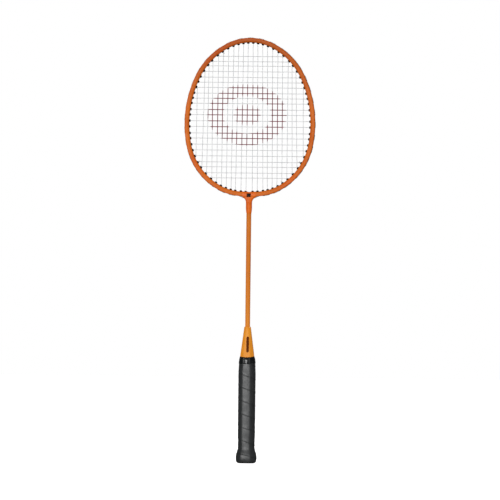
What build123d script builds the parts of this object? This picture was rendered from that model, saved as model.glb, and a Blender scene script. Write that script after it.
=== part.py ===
from build123d import *
import os
from math import sin, cos, tan, asin, acos, atan2, radians, degrees, sqrt, pi

os.makedirs("parts", exist_ok=True)

# Badminton racket with a steel hoop, T-joint, steel shaft and wrapped octagonal grip.
# Millimetres. The racket stands upright: +Z runs from the butt to the head's tip,
# +X to the right across the string bed, Y through the string bed (front face at -Y).
# The origin is the centre of the flat butt end.

# ---------------------------------------------------------------- driving dimensions
# hoop
Z_HEAD = 539.524                    # height of the head's reference centre
# one half of the hoop's outer line, as tangent arcs, clockwise from the tip:
# (radius, heading in degrees where the arc ends); the last radius closes the line
HOOP_TOP = 665.0
HOOP_RADII = ((79.814, 25.88), (108.967, 65.14), (176.680, 101.08), (101.516, 149.18),
              (80.330, 171.05), (None, 180.0))
TUBE_WIDE = 7.3                     # across the tube, in the plane of the head
TUBE_DEEP = 9.6                     # through the head
TUBE_WALL = 0.75
GROOVE_DEEP = 0.9                   # string channel round the outside of the hoop
GROOVE_FLOOR = 2.15                 # half widths of the channel
GROOVE_MOUTH = 2.75
HOOP_GAP = 3.3                      # each hoop end stops this far from the middle

# string holes: polar angles about the head's centre, clockwise from the tip (one side)
HOLES = (1.9, 5.6, 9.4, 13.5, 18.0, 22.9, 27.75, 34.0, 38.9, 44.75, 50.5, 55.4,
         60.5, 66.1, 71.0, 76.0, 82.0, 87.1, 92.9, 98.4, 104.4, 109.1, 114.6,
         119.75, 125.1, 130.75, 135.6, 141.9, 147.75, 152.75, 157.25, 161.5,
         165.5, 169.1, 173.5, 177.5)
SHARED = (7, 8, 9, 10, 13, 25, 27, 28, 29)   # holes that hold a main and a cross
THROAT_HOLE = 36                             # this pair leaves through the T-joint

# grommets: barrel and bore diameters, hole, head
SINGLE = dict(barrel=2.8, bore=2.0, hole=2.9, head=3.7)
DOUBLE = dict(barrel=3.2, bore=2.2, hole=3.3, head=4.1)
HEAD_THICK = 0.8
BARREL_OUT = 1.9                    # how far a barrel stands inside the hoop

# strings
STRING_D = 0.8
SPLIT = 0.42                        # mains run this far in front of the middle plane, crosses behind
TURN_R = 0.9                        # string's bend over a grommet's edge
WEAVE_LEG = 1.5                     # half length of each weave bend
WEAVE_OUT = 0.095                   # a bend's corner stands this much beyond the string's line
STRING_LIFT = 0.12                  # clearance of a string over a grommet's head

# T-joint
SLEEVE_ANGLE = 4.52                 # half angle of the sleeve round the hoop
SLEEVE_SKIN = 0.45
BARREL = ((390.6, 3.95), (393.2, 4.35), (396.5, 4.72), (401.0, 4.90), (405.0, 4.86),
          (408.6, 4.62), (412.0, 4.70), (417.0, 5.00))
SHOULDER_R = 11.0
SHOULDER_MID = (15.3, 406.2)         # centre of the round on each side, x and z
CORE_STEM_D = 6.1

# shaft
SHAFT_D = 7.6
SHAFT_WALL = 0.7
SHAFT_LOW = 58.0
SHAFT_HIGH = 413.5

# cone over the joint of shaft and handle
CONE_LOW = 158.0
CONE_SHOULDER = 166.9
CONE_HIGH = 213.4
CONE_BASE = (10.8, 9.7, 4.9)        # half width, half depth, corner cut
CONE_TIP = 5.1

# handle
CORE = (11.5, 10.0, 5.5)            # octagon: half width, half depth, corner cut
CORE_SPIGOT = (9.6, 8.1, 4.6)
CAP_TOP = 26.0
CAP_FLOOR = 4.0
GRIP_THICK = 1.8
GRIP_LOW = 2.5
GRIP_HIGH = 166.4
# outer surface of the wrapped grip: height, half width, half depth, corner cut
GRIP_OUT = ((2.5, 15.55, 14.05, 7.5), (5.8, 15.85, 14.35, 7.6), (10.5, 16.0, 14.5, 7.7),
            (15.1, 15.5, 14.0, 7.4), (19.8, 14.2, 12.7, 6.7), (24.0, 13.0, 11.5, 6.2),
            (34.0, 13.0, 11.5, 6.2), (44.0, 13.3, 11.8, 6.3), (142.0, 13.3, 11.8, 6.3),
            (152.0, 12.8, 11.4, 6.0), (162.0, 12.15, 10.9, 5.6), (166.4, 11.15, 10.05, 5.1))
# butt cap under the grip
CAP_BODY = ((2.5, 13.75, 12.25, 6.6), (10.5, 14.2, 12.7, 6.8), (15.1, 13.7, 12.2, 6.6),
            (19.8, 12.4, 10.9, 5.9), (24.0, 11.5, 10.0, 5.5), (26.0, 11.5, 10.0, 5.5))
CAP_RIM = ((0.0, 13.4, 11.9, 6.5), (0.8, 14.7, 13.2, 7.1), (2.5, 15.55, 14.05, 7.5))
TAPE_LOW = 156.2
TAPE_BEND = 162.0
TAPE_HIGH = 167.3
TAPE_THICK = 0.3
PIN_D = 2.0
PIN_Z = 96.0


# ---------------------------------------------------------------- hoop line
def hoop_arcs():
    """The right half's arcs: centre x, centre z, radius, first and last heading."""
    out, cx, cz, last, start = [], 0.0, HOOP_TOP - HOOP_RADII[0][0], HOOP_RADII[0][0], 0.0
    for r, end in HOOP_RADII:
        h = radians(start)
        if r is None:                       # centred on the racket's middle line
            r = last + cx / sin(h)
        cx, cz = cx + (last - r) * sin(h), cz + (last - r) * cos(h)
        out.append((cx, cz, r, start, end))
        last, start = r, end
    return out


HOOP_ARCS = hoop_arcs()
HOOP_LOW = HOOP_ARCS[-1][1] - HOOP_ARCS[-1][2]      # outer line at the throat


def arc_at(heading):
    """The arc of the hoop's right half at a heading, in degrees."""
    for a in HOOP_ARCS:
        if heading <= a[4] + 1e-9:
            return a
    return HOOP_ARCS[-1]


def hoop_point(heading, inside):
    """(x, z) at a heading, a distance inside the hoop's outer line."""
    cx, cz, r, _, _ = arc_at(heading)
    h = radians(heading)
    return cx + (r - inside) * sin(h), cz + (r - inside) * cos(h)


def heading_of(polar, inside):
    """The heading of the hoop line's point that lies at a polar angle about the head's centre."""
    low, high = 0.0, 180.0
    for _ in range(60):
        mid = (low + high) / 2
        x, z = hoop_point(mid, inside)
        if degrees(atan2(x, z - Z_HEAD)) < polar:
            low = mid
        else:
            high = mid
    return (low + high) / 2


def hole(number, side):
    """One string hole: inner end, outer end and outward direction of its grommet's axis."""
    mouth = TUBE_WIDE + BARREL_OUT
    polar = HOLES[number - 1]
    if number == THROAT_HOLE:
        x, z = hoop_point(heading_of(polar, 8.3), mouth)
        ex, ez = 8.35, 414.75                       # leaves through the shoulder of the T
        n = Vector(ex - x, 0, ez - z).normalized()
        lip = Vector(ex, 0, ez)
        inner = Vector(x, 0, z)
    else:
        h = heading_of(polar, 8.3)
        n = Vector(sin(radians(h)), 0, cos(radians(h)))
        x, z = hoop_point(h, mouth)
        inner = Vector(x, 0, z)
        x, z = hoop_point(h, GROOVE_DEEP - HEAD_THICK)
        lip = Vector(x, 0, z)
    if side < 0:
        inner, lip, n = (Vector(-v.X, v.Y, v.Z) for v in (inner, lip, n))
    return dict(inner=inner, lip=lip, out=n,
                size=DOUBLE if number in SHARED else SINGLE)


def rod(start, end, diameter):
    """A round bar from one point to another."""
    d = end - start
    return extrude(Plane(origin=start, z_dir=d.normalized()) * Circle(diameter / 2), d.length)


def tube_section(grow=0.0, groove=True):
    """The hoop tube's section, grown by a distance, as points and fillet radii: (inwards, depth)."""
    half = TUBE_DEEP / 2 + grow
    near, far = -grow, TUBE_WIDE + grow
    if groove:
        mouth, floor = GROOVE_MOUTH - 0.535 * grow, GROOVE_FLOOR - 0.535 * grow
        low = GROOVE_DEEP - grow
        points = [(near, half), (far, half), (far, -half), (near, -half),
                  (near, -mouth), (low, -floor), (low, floor), (near, mouth)]
        outer = 1.75 if grow >= 0 else 0.6
        radii = [outer, 3.3 + grow, 3.3 + grow, outer, 0.35, 0.3, 0.3, 0.35]
    else:
        points = [(near, half), (far, half), (far, -half), (near, -half)]
        radii = [2.6 + grow, 3.3 + grow, 3.3 + grow, 2.6 + grow]
    return points, radii


def hoop_face(heading, grow=0.0, groove=True, bore=False):
    """The section's face, standing on the hoop line at a heading of the right half."""
    x, z = hoop_point(heading, 0)
    h = radians(heading)
    # local x runs inwards from the outer line, local y runs along Y
    plane = Plane(origin=(x, 0, z), x_dir=(-sin(h), 0, -cos(h)),
                  z_dir=Vector(-sin(h), 0, -cos(h)).cross(Vector(0, 1, 0)))
    points, radii = tube_section(grow, groove)
    face = make_face(FilletPolyline(*points, radius=radii, close=True))
    if bore:
        points, radii = tube_section(-TUBE_WALL, groove)
        face -= make_face(FilletPolyline(*points, radius=radii, close=True))
    return plane * face


def hoop_solid(grow=0.0, groove=True, bore=False, first=0.0):
    """The tube's section turned along the hoop's arcs from a heading on, both halves."""
    pieces = []
    for cx, cz, r, a, b in HOOP_ARCS:
        a = max(a, first)
        if b - a < 1e-6:
            continue
        axis = Axis((cx, 0, cz), (0, 1, 0))
        piece = revolve(hoop_face(a, grow, groove, bore), axis, b - a)
        pieces += [piece.solids()[0], mirror(piece, Plane.YZ).solids()[0]]
    return pieces[0].fuse(*pieces[1:])


def octagon(z, hx, hy, c):
    points = [(hx, c - hy), (hx, hy - c), (hx - c, hy), (c - hx, hy),
              (-hx, hy - c), (-hx, c - hy), (c - hx, -hy), (hx - c, -hy)]
    return Plane.XY.offset(z) * make_face(Polyline(*points, close=True))


def octagons(rows):
    """A straight-sided loft through octagons."""
    return loft([octagon(*row) for row in rows], ruled=True)


def between(rows, z):
    """An octagon row at a height between the rows."""
    for a, b in zip(rows, rows[1:]):
        if a[0] <= z <= b[0]:
            f = (z - a[0]) / (b[0] - a[0])
            return (z,) + tuple(p + f * (q - p) for p, q in zip(a[1:], b[1:]))
    raise ValueError(z)


def save(shape, name):
    solids = shape.solids()
    shape = solids[0] if len(solids) == 1 else Compound(children=list(solids))
    shape.label = name
    export_step(shape, f"parts/{name}.step")
    print(name, len(solids), round(sum(s.volume for s in solids)))


# ---------------------------------------------------------------- grommets
ALL = [(k, s) for k in range(1, 37) for s in (1, -1)]
hoop_holes, groups = [], {"hoop_grommets": [], "shared_grommets": [], "throat_grommets": []}
for k, s in ALL:
    g = hole(k, s)
    size, n = g["size"], g["out"]
    start, end = g["inner"], g["lip"]
    body = rod(start, end, size["barrel"])
    body += rod(end - n * HEAD_THICK, end, size["head"])
    body -= rod(start - n, end + n, size["bore"])
    # the head's rim is rounded off
    rim = body.edges().filter_by(GeomType.CIRCLE).sort_by(lambda e: (e.center() - end).length)
    rim = [e for e in rim if abs(e.radius - size["head"] / 2) < 1e-6]
    rim = max(rim, key=lambda e: e.center().dot(n))
    body = fillet(rim, 0.45)
    name = ("throat_grommets" if k == THROAT_HOLE else
            "shared_grommets" if k in SHARED else "hoop_grommets")
    groups[name].append(body)
    hoop_holes.append(rod(start, end + n * 3, size["hole"]))
for name, bodies in groups.items():
    save(Compound(children=bodies), name)

# ---------------------------------------------------------------- hoop
hoop = hoop_solid(bore=True)
hoop = hoop.cut(*[h.solids()[0] for h in hoop_holes],
                (Pos(0, 0, HOOP_LOW) * Box(2 * HOOP_GAP, 30, 30)).solids()[0])
save(hoop, "head_hoop")

# ---------------------------------------------------------------- T-joint
LAST = HOOP_ARCS[-1]
line_z = LAST[1]                     # centre of the bottom arc
sleeve = hoop_solid(grow=SLEEVE_SKIN, groove=False, first=180 - SLEEVE_ANGLE)
barrel = revolve(make_face(Polyline(*[(0, 0, BARREL[0][0])],
                                    *[(r, 0, z) for z, r in BARREL],
                                    (0, 0, BARREL[-1][0]), close=True)), Axis.Z, 360)
# shoulders: a web between the sleeve and the barrel, with a round on each side
low_line = line_z - LAST[2] - SLEEVE_SKIN
sx, sz = SHOULDER_MID
web_low = sz
top_x = 11.0
web = make_face(Polyline((-top_x, 0, 420), (top_x, 0, 420),
                         (top_x, 0, web_low), (-top_x, 0, web_low), close=True))
web = extrude(web, 3.9, both=True)
for s in (1, -1):
    web -= Pos(s * sx, 0, sz) * Rot(90, 0, 0) * Cylinder(SHOULDER_R, 20)
web = fillet([e for e in web.edges().filter_by(GeomType.CIRCLE) if e.radius > 5], 2.2)
throat = sleeve + barrel + (web & (Pos(0, 0, 412) * Box(30, 30, 16)))
shaft_room = rod(Vector(0, 0, 380), Vector(0, 0, SHAFT_HIGH + 0.2), SHAFT_D + 0.02)
stem = rod(Vector(0, 0, 372), Vector(0, 0, 420.2), CORE_STEM_D)
arm = make_face(Polyline((1.95, 3.1), (6.25, 3.1), (6.25, -3.1), (1.95, -3.1), close=True))
x, z = hoop_point(180 - 8.0, 0)
h = radians(180 - 8.0)
plane = Plane(origin=(x, 0, z), x_dir=(-sin(h), 0, -cos(h)),
              z_dir=Vector(-sin(h), 0, -cos(h)).cross(Vector(0, 1, 0)))
arm = revolve(plane * arm, Axis((0, 0, line_z), (0, 1, 0)), 8.0)
core = stem + arm + mirror(arm, Plane.YZ)
near = [h for h, (k, s) in zip(hoop_holes, ALL) if k >= 34]
for h in near:
    core -= h
core -= hoop
core = max(core.solids(), key=lambda s: s.volume)
save(core, "throat_core")

throat -= hoop_solid(first=180 - 12)
throat -= shaft_room
throat -= core
throat -= stem
for (k, s), h in zip(ALL, hoop_holes):
    if k >= 35:
        throat -= h
for s in (1, -1):
    a, b = hole(36, s), hole(35, s)
    # seat of the grommet's head, and the channel of the string beside it
    throat -= rod(a["lip"] - a["out"] * (HEAD_THICK + 0.02), a["lip"] + a["out"] * 4, SINGLE["head"] + 0.1)
    lift = STRING_D / 2 + STRING_LIFT
    run = (a["lip"] + a["out"] * lift, b["lip"] + b["out"] * lift)
    throat -= rod(run[0] + Vector(0, -SPLIT, 0), run[1] + Vector(0, -SPLIT, 0), STRING_D + 0.3)
BADGE = (6.5, 5.6, 0.9)
badge_y = TUBE_DEEP / 2 + SLEEVE_SKIN
badge = Pos(0, badge_y - 0.05, HOOP_LOW + 2.9) * Box(BADGE[0], BADGE[2], BADGE[1])
badge = fillet(badge.edges().filter_by(Axis.Y), 0.9)
badges = badge + mirror(badge, Plane.XZ)
throat -= badges
throat = max(throat.solids(), key=lambda s: s.volume)
save(throat, "throat_cover")
save(badges, "throat_badges")

# ---------------------------------------------------------------- shaft
shaft = rod(Vector(0, 0, SHAFT_LOW), Vector(0, 0, SHAFT_HIGH), SHAFT_D)
shaft -= rod(Vector(0, 0, SHAFT_LOW - 1), Vector(0, 0, SHAFT_HIGH + 1), SHAFT_D - 2 * SHAFT_WALL)
pin = rod(Vector(0, -CORE[1] + 0.2, PIN_Z), Vector(0, CORE[1] - 3.0, PIN_Z), PIN_D)
pin += rod(Vector(0, -CORE[1] + 0.2, PIN_Z), Vector(0, -CORE[1] + 0.9, PIN_Z), 3.6)
shaft -= pin
save(shaft, "shaft")
save(pin, "shaft_pin")

# ---------------------------------------------------------------- cone
tip_cut = CONE_TIP * (2 - sqrt(2))
cone = octagons(((CONE_LOW,) + CONE_BASE, (CONE_SHOULDER,) + CONE_BASE,
                 (CONE_HIGH, CONE_TIP, CONE_TIP, tip_cut)))
cone &= Pos(0, 0, CONE_LOW) * Cylinder(CONE_TIP * 1.035, 2 * (CONE_HIGH - CONE_LOW)) + \
    Pos(0, 0, CONE_LOW + 24) * Box(60, 60, 56) + Pos(0, 0, 196) * Box(30, 30, 34)
cone -= rod(Vector(0, 0, CONE_LOW - 1), Vector(0, 0, CONE_HIGH + 1), SHAFT_D + 0.04)
save(cone, "cone")

# ---------------------------------------------------------------- handle
handle = octagons(((CAP_TOP,) + CORE, (CONE_LOW,) + CORE))
handle += octagons(((CAP_FLOOR,) + CORE_SPIGOT, (CAP_TOP,) + CORE_SPIGOT))
handle -= rod(Vector(0, 0, SHAFT_LOW), Vector(0, 0, CONE_LOW + 1), SHAFT_D + 0.04)
handle -= pin

cap = octagons(CAP_RIM) + octagons(CAP_BODY)
cap -= octagons(((CAP_FLOOR,) + CORE_SPIGOT, (CAP_TOP + 1,) + CORE_SPIGOT))
sticker = extrude(Circle(9.5), 0.3)
tack = rod(Vector(0, 13.6, 6.0), Vector(0, 7.4, 6.0), 1.2) + rod(Vector(0, 13.6, 6.0), Vector(0, 12.85, 6.0), 3.4)
tacks = tack + mirror(tack, Plane.XZ)
handle -= tacks
save(handle, "handle_core")
cap -= sticker
cap -= tacks
save(cap, "butt_cap")
save(sticker, "butt_sticker")

# ---------------------------------------------------------------- grip
top = between(GRIP_OUT, GRIP_HIGH)
rows = [r for r in GRIP_OUT if r[0] < GRIP_HIGH] + [top]
grip = octagons(rows)
room = [r for r in CAP_BODY]
hollow = octagons(room)
hollow += octagons(((24.0,) + CORE, (CONE_LOW,) + CORE))
hollow += octagons(((CONE_LOW,) + CONE_BASE, (GRIP_HIGH + 1,) + CONE_BASE))
grip -= hollow
grip -= tacks
save(grip, "grip_tape")
handle_tacks = tacks
save(handle_tacks, "grip_tacks")

tape_low, tape_bend, tape_top = (between(GRIP_OUT, z) for z in (TAPE_LOW, TAPE_BEND, GRIP_HIGH))
grown = lambda row, g, z=None: (row[0] if z is None else z, row[1] + g, row[2] + g, row[3] + g * 0.586)
tape = octagons((grown(tape_low, TAPE_THICK), grown(tape_bend, TAPE_THICK),
                 grown(tape_top, TAPE_THICK), grown(tape_top, TAPE_THICK, TAPE_HIGH)))
tape -= octagons((tape_low, tape_bend, tape_top))
tape -= octagons(((GRIP_HIGH,) + CONE_BASE, (TAPE_HIGH + 1,) + CONE_BASE))
tape -= cone
save(tape, "finishing_tape")

# ---------------------------------------------------------------- strings
def path_through(points, radii):
    """Straight runs joined by tangent arcs. A radius shrinks where its runs are too short for it."""
    room = [(b - a).length for a, b in zip(points, points[1:])]
    edges, last = [], points[0]
    for n in range(1, len(points) - 1):
        p = points[n]
        a, b = (points[n - 1] - p).normalized(), (points[n + 1] - p).normalized()
        half = acos(max(-1, min(1, -a.dot(b)))) / 2          # half of the turn
        if half < 1e-3:
            continue
        reach = min(radii[n] * tan(half), 0.47 * room[n - 1], 0.47 * room[n])
        r = reach / tan(half)
        start, end = p + a * reach, p + b * reach
        middle = p + (a + b).normalized() * (r / cos(half) - r)
        if (start - last).length > 1e-4:
            edges.append(Edge.make_line(last, start))
        edges.append(Edge.make_three_point_arc(start, middle, end))
        last = end
    edges.append(Edge.make_line(last, points[-1]))
    return Wire(edges)


def string_end(number, side, y):
    """A string's two corners at a hole: beyond the grommet's head, and just inside its barrel."""
    g = hole(number, side)
    shift = Vector(0, y, 0)
    return (g["lip"] + g["out"] * (STRING_D / 2 + STRING_LIFT) + shift,
            g["inner"] - g["out"] * 0.3 + shift)


def tail(number, side, y):
    """A tied-off end: over the head of a grommet, through it and on to the knot inside."""
    out, inside = string_end(number, side, y)
    n = (inside - out).normalized()
    return [inside + n * 1.2, out]


# mains, from left to right: the holes in the order that the string passes them
left = (25, 13, 10, 27, 28, 9, 8, 29, 30, 7, 6, 31, 32, 5, 4, 33, 34, 3, 2, 35, 36, 1)
TOP_HOLES = (1, 2, 3, 4, 5, 6, 7, 8, 9, 10, 13)
LOW_HOLES = (36, 35, 34, 33, 32, 31, 30, 29, 28, 27, 25)
CROSS_HOLES = tuple(range(7, 30))
main_order = [(k, -1) for k in left] + [(k, 1) for k in reversed(left)]
cross_order = []
for j, k in enumerate(CROSS_HOLES):
    cross_order += [(k, -1), (k, 1)] if j % 2 == 0 else [(k, 1), (k, -1)]

main_lines = [(string_end(a, s, 0)[1], string_end(b, s, 0)[1])
              for s in (-1, 1) for a, b in (zip(TOP_HOLES, LOW_HOLES))]
main_lines.sort(key=lambda ab: ab[0].X)
cross_lines = [(string_end(k, -1, 0)[1], string_end(k, 1, 0)[1]) for k in CROSS_HOLES]
crossings = {}
for m, (a, b) in enumerate(main_lines):
    for j, (c, d) in enumerate(cross_lines):
        z = c.Z
        x = a.X + (b.X - a.X) * (z - a.Z) / (b.Z - a.Z)
        if b.Z + 2.2 < z < a.Z - 2.2 and c.X + 2.2 < x < d.X - 2.2:
            crossings[m, j] = Vector(x, 0, z)


def bed_points(inside, across, y0, fixed, kind):
    """Corners of one woven length between two grommets."""
    keys = [k for k in crossings if k[0 if kind == "main" else 1] == fixed]
    pts = sorted(keys, key=lambda k: (crossings[k] - inside).length)
    out = [(inside, TURN_R)]
    for m, j in pts:
        up = 1 if (m + j) % 2 else -1
        if kind == "cross":
            up = -up
        # the arc passes inside its corner, so the corner stands a little further out
        out.append((crossings[m, j] + Vector(0, up * (SPLIT + WEAVE_OUT), 0), WEAVE_LEG))
    out.append((across, TURN_R))
    return out


def string_route(order, y, kind, tail_first, tail_last):
    points, radii = [], []
    def add(p, r):
        points.append(p)
        radii.append(r)
    for p, r in zip(tail(*tail_first, y), (0, TURN_R)):
        add(p, r)
    for n in range(0, len(order), 2):
        (k1, s1), (k2, s2) = order[n], order[n + 1]
        out1, in1 = string_end(k1, s1, y)
        out2, in2 = string_end(k2, s2, y)
        add(out1, TURN_R)
        if kind == "main":
            ends = {round(in1.X, 3), round(in2.X, 3)}
            fixed = [m for m, (a, b) in enumerate(main_lines)
                     if {round(a.X, 3), round(b.X, 3)} == ends][0]
        else:
            fixed = n // 2
        for p, r in bed_points(in1, in2, y, fixed, kind):
            if r == WEAVE_LEG:
                add(p, WEAVE_LEG / tan(radians(6.5)))
            else:
                add(p, r)
        add(out2, TURN_R)
    for p, r in zip(reversed(tail(*tail_last, y)), (TURN_R, 0)):
        add(p, r)
    return points, radii


def knot(place, direction):
    """A pulled-tight knot against a grommet's mouth."""
    return Plane(origin=place, z_dir=direction) * Sphere(1.15)


def string_solid(order, y, kind, first, last):
    points, radii = string_route(order, y, kind, first, last)
    wire = path_through(points, radii)
    start = Plane(origin=points[0], z_dir=(points[1] - points[0]).normalized())
    body = sweep(start * Circle(STRING_D / 2), path=wire)
    print(kind, "string", round(wire.length), "mm", len(wire.edges()), "pieces, volume",
          round(sum(s.volume for s in body.solids()), 1), "of",
          round(wire.length * pi * STRING_D ** 2 / 4, 1))
    for place, nxt in ((points[0], points[1]), (points[-1], points[-2])):
        body += knot(place, (nxt - place).normalized())
    return body


mains = string_solid(main_order, -SPLIT, "main", (26, -1), (26, 1))
save(mains, "main_string")
crosses = string_solid(cross_order, SPLIT, "cross", (6, -1), (30, 1))
save(crosses, "cross_string")
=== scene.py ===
import math
from math import sin, cos, tan, pi, radians, sqrt, atan2, degrees
import bpy, bmesh
import numpy as np
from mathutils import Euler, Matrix, Quaternion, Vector, noise


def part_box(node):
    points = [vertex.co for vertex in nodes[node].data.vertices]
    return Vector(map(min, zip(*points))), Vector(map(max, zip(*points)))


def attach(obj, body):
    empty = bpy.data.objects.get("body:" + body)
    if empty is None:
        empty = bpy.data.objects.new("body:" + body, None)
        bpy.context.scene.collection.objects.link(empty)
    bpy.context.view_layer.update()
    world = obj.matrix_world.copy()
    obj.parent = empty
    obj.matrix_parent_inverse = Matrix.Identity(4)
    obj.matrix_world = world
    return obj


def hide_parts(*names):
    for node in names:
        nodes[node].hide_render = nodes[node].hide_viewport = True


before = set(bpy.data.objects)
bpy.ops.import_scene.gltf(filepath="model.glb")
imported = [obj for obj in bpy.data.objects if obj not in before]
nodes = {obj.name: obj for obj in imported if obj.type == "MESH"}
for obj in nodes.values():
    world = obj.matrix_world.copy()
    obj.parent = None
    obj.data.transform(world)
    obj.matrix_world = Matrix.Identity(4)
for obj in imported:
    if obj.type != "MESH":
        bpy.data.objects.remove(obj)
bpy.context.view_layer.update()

MM = 0.001
scene = bpy.context.scene


# ------------------------------------------------------------------ small helpers
def srgb(r, g, b, a=1.0):
    """A colour given as it looks on a screen, 0 to 255, as Blender's linear values."""
    def f(c):
        c /= 255.0
        return c / 12.92 if c <= 0.04045 else ((c + 0.055) / 1.055) ** 2.4
    return (f(r), f(g), f(b), a)


def new_mesh(name, verts, faces, mat=None, smooth=True, recalc=True):
    me = bpy.data.meshes.new(name)
    me.from_pydata([tuple(v) for v in verts], [], faces)
    bm = bmesh.new()
    bm.from_mesh(me)
    bmesh.ops.remove_doubles(bm, verts=bm.verts, dist=1e-7)
    if recalc:
        bmesh.ops.recalc_face_normals(bm, faces=bm.faces)
    for f in bm.faces:
        f.smooth = smooth
    bm.to_mesh(me)
    bm.free()
    ob = bpy.data.objects.new(name, me)
    scene.collection.objects.link(ob)
    if mat:
        me.materials.append(mat)
    return ob


def sharpen(ob, angle=35):
    """Smooth shading with hard edges where faces turn by more than an angle."""
    me = ob.data
    me.set_sharp_from_angle(angle=radians(angle))


def lerp(a, b, t):
    return a + (b - a) * t


def smoothstep(a, b, x):
    t = max(0.0, min(1.0, (x - a) / (b - a)))
    return t * t * (3 - 2 * t)


def curve_at(rows, z):
    """Monotone cubic through rows of (z, values...)."""
    n = len(rows)
    if z <= rows[0][0]:
        return rows[0][1:]
    if z >= rows[-1][0]:
        return rows[-1][1:]
    k = max(i for i in range(n - 1) if rows[i][0] <= z)
    out = []
    for c in range(1, len(rows[0])):
        d = [(rows[i + 1][c] - rows[i][c]) / (rows[i + 1][0] - rows[i][0]) for i in range(n - 1)]
        def slope(i):
            if i == 0:
                return d[0]
            if i == n - 1:
                return d[-1]
            if d[i - 1] * d[i] <= 0:
                return 0.0
            return 2 * d[i - 1] * d[i] / (d[i - 1] + d[i])
        h = rows[k + 1][0] - rows[k][0]
        t = (z - rows[k][0]) / h
        a, b = rows[k][c], rows[k + 1][c]
        ma, mb = slope(k) * h, slope(k + 1) * h
        out.append((2 * t**3 - 3 * t**2 + 1) * a + (t**3 - 2 * t**2 + t) * ma
                   + (-2 * t**3 + 3 * t**2) * b + (t**3 - t**2) * mb)
    return out


# ------------------------------------------------------------------ material kit
class Mat:
    """A node material: a Principled shader with a bump, and helpers to feed them."""
    def __init__(self, name):
        self.m = bpy.data.materials.new(name)
        self.m.use_nodes = True
        self.t = self.m.node_tree
        self.bsdf = self.t.nodes["Principled BSDF"]
        self.coord = self.node("ShaderNodeTexCoord")

    def node(self, kind, **values):
        n = self.t.nodes.new(kind)
        for k, v in values.items():
            if k in n.inputs:
                n.inputs[k].default_value = v
            else:
                setattr(n, k, v)
        return n

    def link(self, a, b):
        self.t.links.new(a, b)

    def space(self, scale=(1, 1, 1), rotate=(0, 0, 0)):
        m = self.node("ShaderNodeMapping")
        m.inputs["Scale"].default_value = scale
        m.inputs["Rotation"].default_value = rotate
        self.link(self.coord.outputs["Object"], m.inputs["Vector"])
        return m.outputs["Vector"]

    def noise(self, scale, detail=3.0, rough=0.55, where=None, distortion=0.0):
        n = self.node("ShaderNodeTexNoise")
        n.inputs["Scale"].default_value = scale
        n.inputs["Detail"].default_value = detail
        n.inputs["Roughness"].default_value = rough
        n.inputs["Distortion"].default_value = distortion
        self.link(where or self.coord.outputs["Object"], n.inputs["Vector"])
        return n.outputs["Fac"]

    def cells(self, scale, feature="F1", where=None, smooth=None):
        n = self.node("ShaderNodeTexVoronoi")
        n.feature = feature
        n.inputs["Scale"].default_value = scale
        self.link(where or self.coord.outputs["Object"], n.inputs["Vector"])
        return n.outputs["Distance"]

    def ramp(self, fac, stops, interp="LINEAR"):
        r = self.node("ShaderNodeValToRGB")
        r.color_ramp.interpolation = interp
        while len(r.color_ramp.elements) < len(stops):
            r.color_ramp.elements.new(0.5)
        for e, (p, c) in zip(r.color_ramp.elements, stops):
            e.position = p
            e.color = c if len(c) == 4 else (*c, 1)
        self.link(fac, r.inputs["Fac"])
        return r.outputs["Color"]

    def grey(self, fac, a, b, lo=0.3, hi=0.7):
        n = self.node("ShaderNodeMapRange")
        n.inputs["From Min"].default_value = lo
        n.inputs["From Max"].default_value = hi
        n.inputs["To Min"].default_value = a
        n.inputs["To Max"].default_value = b
        self.link(fac, n.inputs["Value"])
        return n.outputs["Result"]

    def math(self, op, a, b=None, c=None):
        n = self.node("ShaderNodeMath")
        n.operation = op
        for i, v in enumerate((a, b, c)):
            if v is None:
                continue
            if isinstance(v, (int, float)):
                n.inputs[i].default_value = v
            else:
                self.link(v, n.inputs[i])
        return n.outputs[0]

    def mix(self, fac, a, b, blend="MIX"):
        n = self.node("ShaderNodeMix")
        n.data_type = "RGBA"
        n.blend_type = blend
        if isinstance(fac, (int, float)):
            n.inputs["Factor"].default_value = fac
        else:
            self.link(fac, n.inputs["Factor"])
        for key, v in (("A", a), ("B", b)):
            s = [i for i in n.inputs if i.name == key and i.type == "RGBA"][0]
            if isinstance(v, tuple):
                s.default_value = v
            else:
                self.link(v, s)
        return [o for o in n.outputs if o.type == "RGBA"][0]

    def bump(self, height, strength=0.3, distance=0.0003, normal=None):
        b = self.node("ShaderNodeBump")
        b.inputs["Strength"].default_value = strength
        b.inputs["Distance"].default_value = distance
        self.link(height, b.inputs["Height"])
        if normal is not None:
            self.link(normal, b.inputs["Normal"])
        self.link(b.outputs["Normal"], self.bsdf.inputs["Normal"])
        return b.outputs["Normal"]

    def colour(self, c):
        if isinstance(c, tuple):
            self.bsdf.inputs["Base Color"].default_value = c
        else:
            self.link(c, self.bsdf.inputs["Base Color"])

    def rough(self, r):
        if isinstance(r, (int, float)):
            self.bsdf.inputs["Roughness"].default_value = r
        else:
            self.link(r, self.bsdf.inputs["Roughness"])

    def set(self, **kw):
        for k, v in kw.items():
            self.bsdf.inputs[k.replace("_", " ")].default_value = v
        return self


def xyz(m):
    s = m.node("ShaderNodeSeparateXYZ")
    m.link(m.coord.outputs["Object"], s.inputs[0])
    return s.outputs[0], s.outputs[1], s.outputs[2]


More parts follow.
